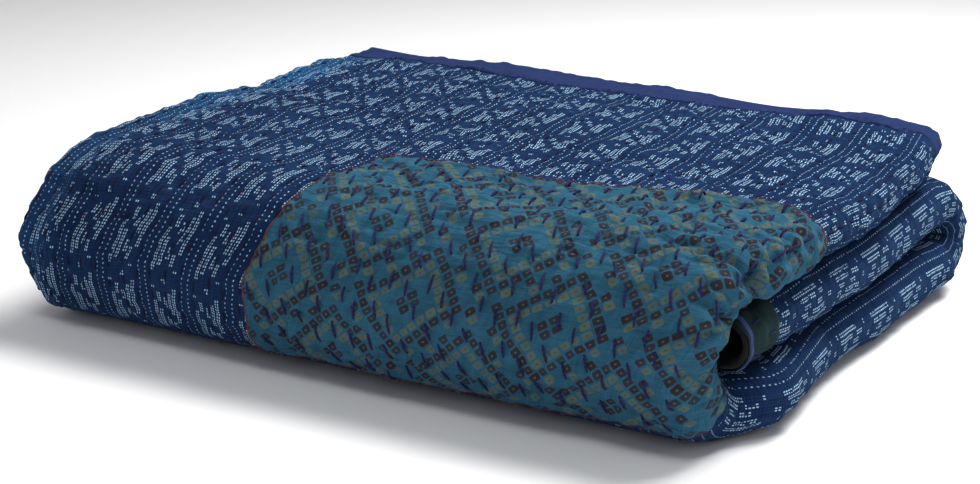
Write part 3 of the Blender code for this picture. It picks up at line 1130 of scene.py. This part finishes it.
def teal_height(across, along):
    """Height of the teal patch above the bare quilt: its own puffs and gathers."""
    on_front = smooth((along - 0.50) / 0.07)
    fine = ridges(across, along, 0.028, 0.0110, 0.0044, 21) * (1 - FRONT_SMOOTHING * on_front)
    broad = 0.0018 * noise(across / 0.036, along / 0.016, 22) * (1 - FRONT_SMOOTHING_BROAD * on_front)
    inside = smooth(nearest(*teal_insets(across, along)) / 0.012)
    dips = TEAL_DIP * dimples(
        across, along, TEAL_ROW_START, TEAL_ROW_PITCH, TEAL_FIRSTS, TEAL_STITCH_PITCH, 0.0145
    )
    return TEAL_LIFT + inside * (fine + broad - dips + TEAL_PUFF + creased(across, along, GATHERS))


def teal_face(across, along, lift):
    u, s = place_of(across, along)
    relief = (quilting(across, along) + teal_height(across, along)) * shown(u, s) + lift
    return face_at(u, s, 0.0, relief)


def make_teal():
    right = teal_right(0.5)
    p, q = np.meshgrid(stations(TEAL_GRID_ACROSS, 1), stations(TEAL_GRID_ALONG, 1), indexing="ij")
    across = right + (TEAL_LEFT_USUAL - right) * p
    for _ in range(3):
        along = table_at(TEAL_BACK, across) + (TEAL_LOW - table_at(TEAL_BACK, across)) * q
        across = right + (table_at(TEAL_LEFT, along) - right) * p
    wander = TEAL_EDGE_WANDER * noise(across / 0.02, along / 0.02, 31)
    along = along + wander * (1 - smooth(q / 0.1))
    across = across + wander * smooth((p - 0.9) / 0.1)
    from_edge = np.maximum(nearest(*teal_insets(across, along), across - right), 0)
    hem = TEAL_HEM * smooth((TEAL_HEM_WIDTH - from_edge) / 0.003)
    thick = (TEAL_COTTON_THICKNESS + hem) * rounded_edge(from_edge, 0.0016)
    inner, _ = teal_face(across, along, -TEAL_COTTON_THICKNESS)
    outer, _ = teal_face(across, along, thick - TEAL_COTTON_THICKNESS)
    outer[..., 2] = np.maximum(outer[..., 2], 0)
    inner[..., 2] = np.maximum(inner[..., 2], TEAL_COTTON_THICKNESS)
    piece = sheet_object("teal_cotton_patch", outer, inner, pairs(across, along), TEAL_COTTON)
    add_attribute(piece, "from_edge", from_edge, from_edge)
    return piece


VIOLET_ROWS = 24
VIOLET_RADIUS = 0.00118
VIOLET_RISE = 0.0009
SLANT_ON_TOP = 0.10
SLANT_GAINED_ON_FRONT = 0.38


def teal_stitches():
    """Thick violet running stitches in staggered rows along the patch."""
    rows = []
    for row in range(VIOLET_ROWS):
        across = TEAL_ROW_START - row * TEAL_ROW_PITCH
        marks = np.arange(TEAL_FIRSTS[-row % len(TEAL_FIRSTS)], TEAL_LOW - 0.008, TEAL_STITCH_PITCH)
        marks = marks + scattered(len(marks), -0.003, 0.003, 930 + row)
        lengths = scattered(len(marks), 0.0125, 0.0165, 960 + row)
        slant = SLANT_ON_TOP + SLANT_GAINED_ON_FRONT * smooth((marks - 0.46) / 0.06)
        drift = slant * lengths + scattered(len(marks), -0.0012, 0.0012, 990 + row)
        side = across + scattered(len(marks), -0.0015, 0.0015, 1020 + row)
        rows.append(row_of_stitches(side, drift / 2, marks, lengths))
    starts, ends = np.concatenate(rows, axis=1)
    keep = np.ones(len(starts), bool)
    for spot in (starts, ends):
        keep &= (nearest(*teal_insets(*spot.T)) > 0.004) & (spot[:, 0] > 0.728)
    return stitch_object(
        "teal_patch_stitches", starts[keep], ends[keep], VIOLET_RADIUS, VIOLET_RISE, VIOLET_THREAD,
        partial(teal_face, lift=0.0004), points_along=7, sides=8,
    )


RUST_PITCH = 0.0062
RUST_LENGTH = 0.0042
RUST_RADIUS = 0.00055
RUST_RISE = 0.0004
RUST_ACROSS = (0.745, 1.198)
RUST_FIRST_RISE = 0.418


def teal_edge_stitches():
    """Small rust stitches that hold the patch's edges down."""

    def along_edges(marks, rises, inset, low_inset):
        return np.concatenate([
            pairs(marks, table_at(TEAL_BACK, marks) + inset),
            pairs(table_at(TEAL_LEFT, rises) - inset, rises),
            pairs(marks, np.full(len(marks), TEAL_LOW - low_inset)),
        ])

    marks = np.arange(*RUST_ACROSS, RUST_PITCH)
    rises = np.arange(RUST_FIRST_RISE, TEAL_LOW - 0.004, RUST_PITCH)
    starts = along_edges(marks, rises, 0.0022, 0.0024)
    ends = along_edges(marks + RUST_LENGTH, rises + RUST_LENGTH, 0.0024, 0.0022)
    return stitch_object(
        "teal_patch_edge_stitches", starts, ends, RUST_RADIUS, RUST_RISE, RUST_THREAD,
        partial(teal_face, lift=0.0007), points_along=4, sides=6,
    )


# The green patch, its edging and the binding

GREEN_WIDTH = 0.055
GREEN_REACH = 0.10
EDGING_INSET = 0.011
EDGING_WIDTH = 0.005
STRIP_THICKNESS = 0.0009
GREEN_STITCH_ROWS = range(-36, -24)
GREEN_STITCH_LENGTH = 0.011
# How far from the short edge the stitches start, in even and in odd rows
GREEN_STITCH_INSETS = (0.030, 0.050)


def strip_on_quilt(name, s_ends, base, material, s_step):
    """A thin strip round the right side fold, on the quilt's outward face."""
    u_ends = (INNER_PLY - GREEN_REACH, BEND_END + GREEN_REACH)
    us, ss = stations([(u_ends[0], 0.004)], u_ends[1]), stations([(s_ends[0], s_step)], s_ends[1])
    u, s = np.meshgrid(us, ss, indexing="ij")
    across, along = cloth_at(u, s)
    ripple = 0.0006 * noise(across / 0.010, along / 0.02, 41)
    cover = (quilting(across, along) + ripple) * shown(u, s)
    from_edge = nearest(u - u_ends[0], u_ends[1] - u, s - s_ends[0], s_ends[1] - s)
    inner, _ = face_at(u, s, base, cover)
    outer, _ = face_at(u, s, 0.0, cover + base + STRIP_THICKNESS * rounded_edge(from_edge, 0.0015))
    return sheet_object(name, outer, inner, pairs(across, along), material)


def make_green():
    green = strip_on_quilt(
        "green_cotton_patch", (ALONG - GREEN_WIDTH, ALONG - 0.002), 0.0004, GREEN_COTTON, 0.003
    )
    edging_start = ALONG - EDGING_INSET
    edging = strip_on_quilt(
        "green_patch_tape", (edging_start, edging_start + EDGING_WIDTH), 0.0015, VIOLET_TAPE, 0.0011
    )
    rows = np.array(GREEN_STITCH_ROWS)
    insets = np.array(GREEN_STITCH_INSETS)[rows % 2]
    starts = pairs(ROW_START + rows * ROW_PITCH, ALONG_STEPS[-1] - insets)
    stitches = stitch_object(
        "green_patch_stitches", starts, starts + (0, GREEN_STITCH_LENGTH), 0.0009, 0.0005, VIOLET_THREAD,
        partial(quilt_face, lift=0.0016),
    )
    return green, edging, stitches


# start and step from there on
BINDING_GRID = ((0, 0.012), (INNER_PLY, 0.004), (BEND_END, 0.006), (OUTER_END, 0.0045), (LEFT_END, 0.012))
# Rows of points from the seam, at 1, to the edge, at 0
BINDING_ROWS = np.concatenate([[1.0, 0.985, 0.965, 0.93], np.linspace(0.88, 0.05, 9)])
BINDING_TURNS = np.linspace(0, math.pi, 9)[1:-1]
BINDING_THICKNESS = 0.0012
BINDING_GAP = 0.0004
BINDING_PUFF = 0.0012
SEAM_SINK = 0.0012
UNDER_PUCKER = 0.4
UNDER_PUFF = 0.3
SEAM_PITCH = 0.0075
SEAM_STITCH = (0.0042, 0.0002)
SEAM_INSET = 0.0035


def binding_width(us):
    return table_at(BINDING_EDGE, cloth_at(us, np.full(len(us), 0.03))[0])


def make_binding():
    """The folded strip round the top back edge, on all three plies."""
    us = stations(BINDING_GRID, ACROSS)
    zeros = np.zeros(len(us))
    width = binding_width(us) + 0.0012 * noise(us / 0.014, zeros, 51)
    outer, inner, cloth = [], [], []

    def lay_row(share, side):
        s = width * share
        point, normal, _ = lying_at(us, s)
        across, along = cloth_at(us, s)
        near_seam = np.exp(-(((1 - share) * 4) ** 2))
        pucker = 0.0009 * near_seam * noise(us / 0.0065, along / 0.03, 52)
        pucker = pucker + 0.0005 * noise(us / 0.03, along / 0.02, 53)
        puff = BINDING_PUFF * math.sin(math.pi * share)
        base = ply_thickness(s) / 2 + BINDING_GAP - (SEAM_SINK if share > 0.99 else 0.0)
        if side > 0:
            base = base + quilting(across, along) * shown(us, s)
            raised = pucker * shown(us, s) + puff
        else:
            raised = pucker * UNDER_PUCKER + puff * UNDER_PUFF
        edge = float(rounded_edge(np.array((1 - share) * 0.056), 0.0018))
        inner.append(point + side * normal * base[:, None])
        rise = base + BINDING_THICKNESS * max(edge, 0.15) + raised * edge
        outer.append(point + side * normal * rise[:, None])
        cloth.append(pairs(us, along * side))

    for share in BINDING_ROWS:
        lay_row(share, 1)
    point, normal, to_edge = lying_at(us, zeros)
    for turn in BINDING_TURNS:
        way = math.cos(turn) * normal + math.sin(turn) * to_edge
        swell = 0.0010 * math.sin(turn) + 0.0005 * noise(us / 0.02, zeros + turn, 54)
        inner.append(point + way * (BOUND_PLY / 2 + BINDING_GAP))
        outer.append(inner[-1] + way * (BINDING_THICKNESS + swell)[:, None])
        cloth.append(pairs(us, zeros - 0.004 * turn))
    for share in BINDING_ROWS[::-1]:
        lay_row(share, -1)
    outer, inner, cloth = [np.stack(rows, 1) for rows in (outer, inner, cloth)]
    return sheet_object("edge_binding_strip", outer, inner, cloth, BINDING_COTTON)


def binding_stitches():
    """Small stitches of the binding's own colour along its seam."""
    us = np.arange(INNER_PLY, LEFT_END, SEAM_PITCH)
    width = binding_width(us)
    across, along = cloth_at(us, width)
    starts = pairs(across, along - SEAM_INSET)
    return stitch_object(
        "binding_stitches", starts, starts + SEAM_STITCH, 0.00045, 0.0003, VIOLET_THREAD,
        partial(quilt_face, lift=0.0016), points_along=4, sides=5,
    )


quilt = make_quilt()
maroon_stitches = quilt_stitches()
teal = make_teal()
violet_stitches = teal_stitches()
rust_stitches = teal_edge_stitches()
green, tape, green_stitches = make_green()
binding = make_binding()
seam_stitches = binding_stitches()

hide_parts("quilt_cloth")
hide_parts("teal_patch")
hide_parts("green_patch")
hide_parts("green_patch_edging")
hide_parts("edge_binding")
for piece, slot in (
    (quilt, "indigo_cloth"),
    (maroon_stitches, "violet_thread"),
    (teal, "teal_cloth"),
    (violet_stitches, "violet_thread"),
    (rust_stitches, "violet_thread"),
    (green, "green_cloth"),
    (tape, "violet_thread"),
    (green_stitches, "violet_thread"),
    (binding, "binding_cloth"),
    (seam_stitches, "violet_thread"),
):
    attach(piece, "root")


# Floor, lights and camera

FLOOR_SIZE = 12.0
FLOOR_Z = -0.0006
FLOOR_COLOR = (0.95, 0.95, 0.96, 1)
LIGHTS = (
    # name, place, aimed at, size, power, colour
    ("key light", (0.8, 1.0, 2.4), (0, 0, 0.1), (1.4, 1.2), 100.0, (1.0, 0.99, 0.97)),
    ("front light", (0.9, -2.6, 1.5), (0, 0, 0.1), (2.4, 1.2), 6.5, (0.97, 0.98, 1.0)),
    ("upper front light", (0.6, -1.5, 2.4), (0, -0.2, 0.1), (0.9, 0.7), 16.5, (1.0, 1.0, 1.0)),
    ("right light", (2.4, 0.6, 1.2), (0, 0, 0.1), (1.6, 1.2), 4.0, (1.0, 1.0, 1.0)),
)
WORLD_COLOR = (0.95, 0.96, 1.0, 1)
WORLD_STRENGTH = 0.25
CAMERA_PLACE = (0.883, -1.513, 0.570)
CAMERA_TURN = 0.5407030
CAMERA_TILT = 0.2802999
FOCAL_PIXELS = 1798.0
PHOTO_WIDTH = 980
SENSOR_WIDTH = 36.0


def make_floor():
    bpy.ops.object.select_all(action="DESELECT")
    bpy.ops.mesh.primitive_plane_add(size=FLOOR_SIZE, location=(0, 0, FLOOR_Z))
    floor = bpy.context.object
    floor.name = "floor"
    bpy.ops.object.transform_apply(location=True, rotation=True, scale=True)
    material = bpy.data.materials.new("pale floor")
    material.use_nodes = True
    shader = material.node_tree.nodes["Principled BSDF"]
    shader.inputs["Base Color"].default_value = FLOOR_COLOR
    shader.inputs["Roughness"].default_value = 0.9
    floor.data.materials.append(material)


def soft_light(name, place, target, size, power, color):
    data = bpy.data.lights.new(name, "AREA")
    data.shape = "RECTANGLE"
    data.size, data.size_y = size
    data.energy = power
    data.color = color
    light = bpy.data.objects.new(name, data)
    light.location = place
    light.rotation_euler = (Vector(target) - Vector(place)).to_track_quat("-Z", "Y").to_euler()
    bpy.context.scene.collection.objects.link(light)


def make_world():
    world = bpy.data.worlds.new("studio")
    world.use_nodes = True
    background = world.node_tree.nodes["Background"].inputs
    background["Color"].default_value = WORLD_COLOR
    background["Strength"].default_value = WORLD_STRENGTH
    bpy.context.scene.world = world
    bpy.context.scene.view_settings.view_transform = "Standard"


def make_camera():
    level = math.cos(CAMERA_TILT)
    back = Vector((math.sin(CAMERA_TURN) * level, -math.cos(CAMERA_TURN) * level, math.sin(CAMERA_TILT)))
    data = bpy.data.cameras.new("camera")
    data.sensor_width = SENSOR_WIDTH
    data.lens = FOCAL_PIXELS / PHOTO_WIDTH * SENSOR_WIDTH
    data.clip_end = 50.0
    camera = bpy.data.objects.new("camera", data)
    camera.location = CAMERA_PLACE
    camera.rotation_euler = (-back).to_track_quat("-Z", "Y").to_euler()
    bpy.context.scene.collection.objects.link(camera)
    bpy.context.scene.camera = camera


make_floor()
for light in LIGHTS:
    soft_light(*light)
make_world()
make_camera()
